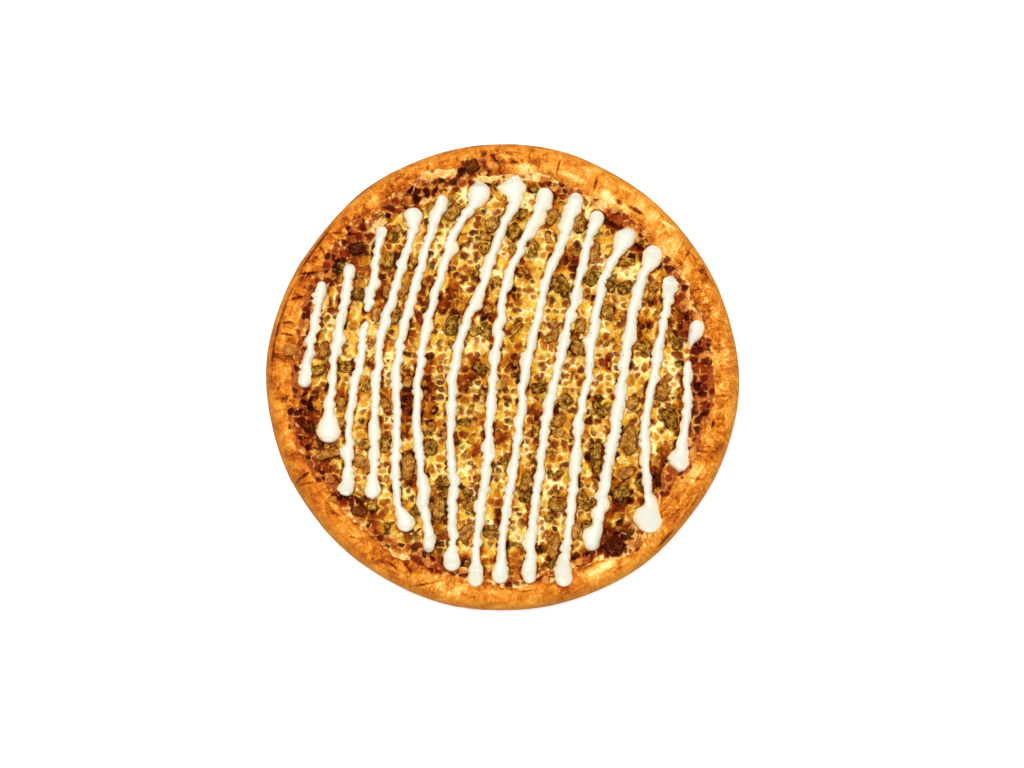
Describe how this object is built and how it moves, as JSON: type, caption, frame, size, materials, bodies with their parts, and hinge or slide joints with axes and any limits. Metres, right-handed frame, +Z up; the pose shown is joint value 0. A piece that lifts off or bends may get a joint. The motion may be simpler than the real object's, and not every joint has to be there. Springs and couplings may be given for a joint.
{
  "type": "beef pizza",
  "caption": "Round baked pizza with a raised crust, tomato sauce, melted cheese, pieces of cooked beef and piped lines of creamy white sauce.",
  "frame": {"origin": "under the middle of the pizza, on the surface it lies on", "axes": "+Z up through the toppings; +Y towards the far side, where the white lines start; +X to the right"},
  "size_m": [0.3056, 0.3038, 0.025],
  "materials": {
    "crust": "golden baked bread, satin, browned in spots",
    "tomato_sauce": "tomato sauce darkened by the oven, oily gloss",
    "cheese": "melted cheese with browned blisters, oily gloss",
    "white_sauce": "smooth creamy sauce, soft gloss",
    "beef": "cooked beef, grained, slightly oily"
  },
  "bodies": {
    "root": {"crust": "crust", "tomato_sauce": "tomato_sauce", "cheese": "cheese", "white_sauce_01": "white_sauce", "white_sauce_02": "white_sauce", "white_sauce_03": "white_sauce", "white_sauce_04": "white_sauce", "white_sauce_05": "white_sauce", "white_sauce_06": "white_sauce", "white_sauce_07": "white_sauce", "white_sauce_08": "white_sauce", "white_sauce_09": "white_sauce", "white_sauce_10": "white_sauce", "white_sauce_11": "white_sauce", "white_sauce_12": "white_sauce", "white_sauce_13": "white_sauce", "white_sauce_14": "white_sauce", "white_sauce_15": "white_sauce", "white_sauce_16": "white_sauce", "beef_01": "beef", "beef_02": "beef", "beef_03": "beef", "beef_04": "beef", "beef_05": "beef", "beef_06": "beef", "beef_07": "beef", "beef_08": "beef", "beef_09": "beef", "beef_10": "beef", "beef_11": "beef", "beef_12": "beef", "beef_13": "beef", "beef_14": "beef", "beef_15": "beef", "beef_16": "beef", "beef_17": "beef", "beef_18": "beef", "beef_19": "beef", "beef_20": "beef", "beef_21": "beef", "beef_22": "beef", "beef_23": "beef", "beef_24": "beef", "beef_25": "beef", "beef_26": "beef", "beef_27": "beef", "beef_28": "beef", "beef_29": "beef", "beef_30": "beef", "beef_31": "beef", "beef_32": "beef", "beef_33": "beef", "beef_34": "beef", "beef_35": "beef", "beef_36": "beef", "beef_37": "beef", "beef_38": "beef", "beef_39": "beef", "beef_40": "beef"}
  },
  "joints": []
}
